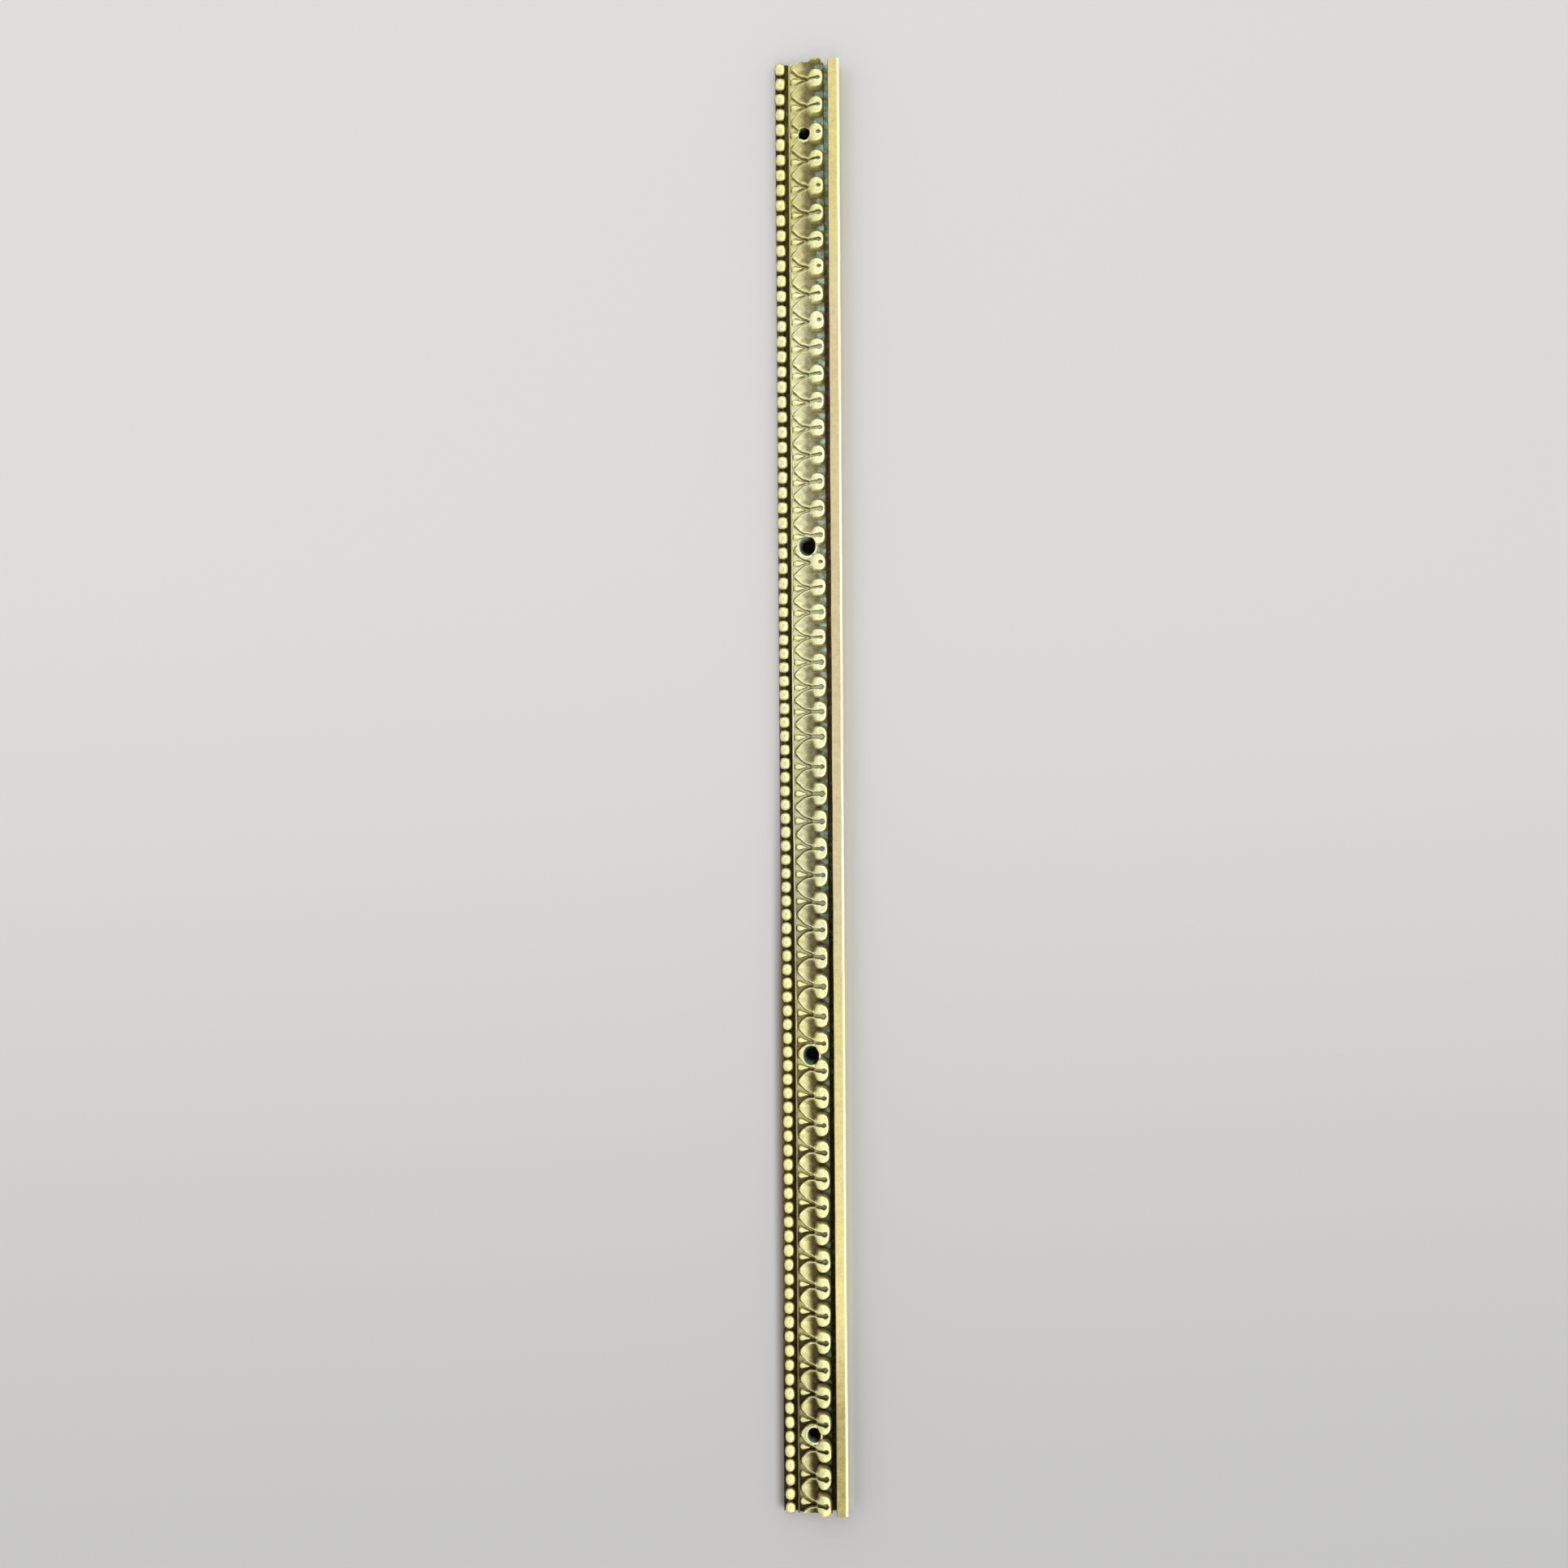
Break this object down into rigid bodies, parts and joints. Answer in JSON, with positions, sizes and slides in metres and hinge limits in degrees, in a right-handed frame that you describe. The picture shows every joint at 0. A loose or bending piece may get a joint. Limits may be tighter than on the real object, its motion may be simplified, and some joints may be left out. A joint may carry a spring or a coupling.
{
  "type": "beaded leaf moulding strip",
  "caption": "Long, narrow cast-brass furniture moulding with a bead row, a band of heart-shaped leaves and darts, a plain fillet, and pin holes for nailing it along an edge.",
  "frame": {"origin": "middle of the flat back, halfway along the strip", "axes": "+Z out of the decorated face, +Y along the strip, +X across it from the bead row to the plain fillet"},
  "size_m": [0.012, 0.272, 0.0041],
  "materials": {
    "cast_brass": "cast and hand-chased brass, bright on the high places, with brown and green tarnish in the recesses"
  },
  "bodies": {
    "root": {"moulding_strip": "cast_brass"}
  },
  "joints": []
}
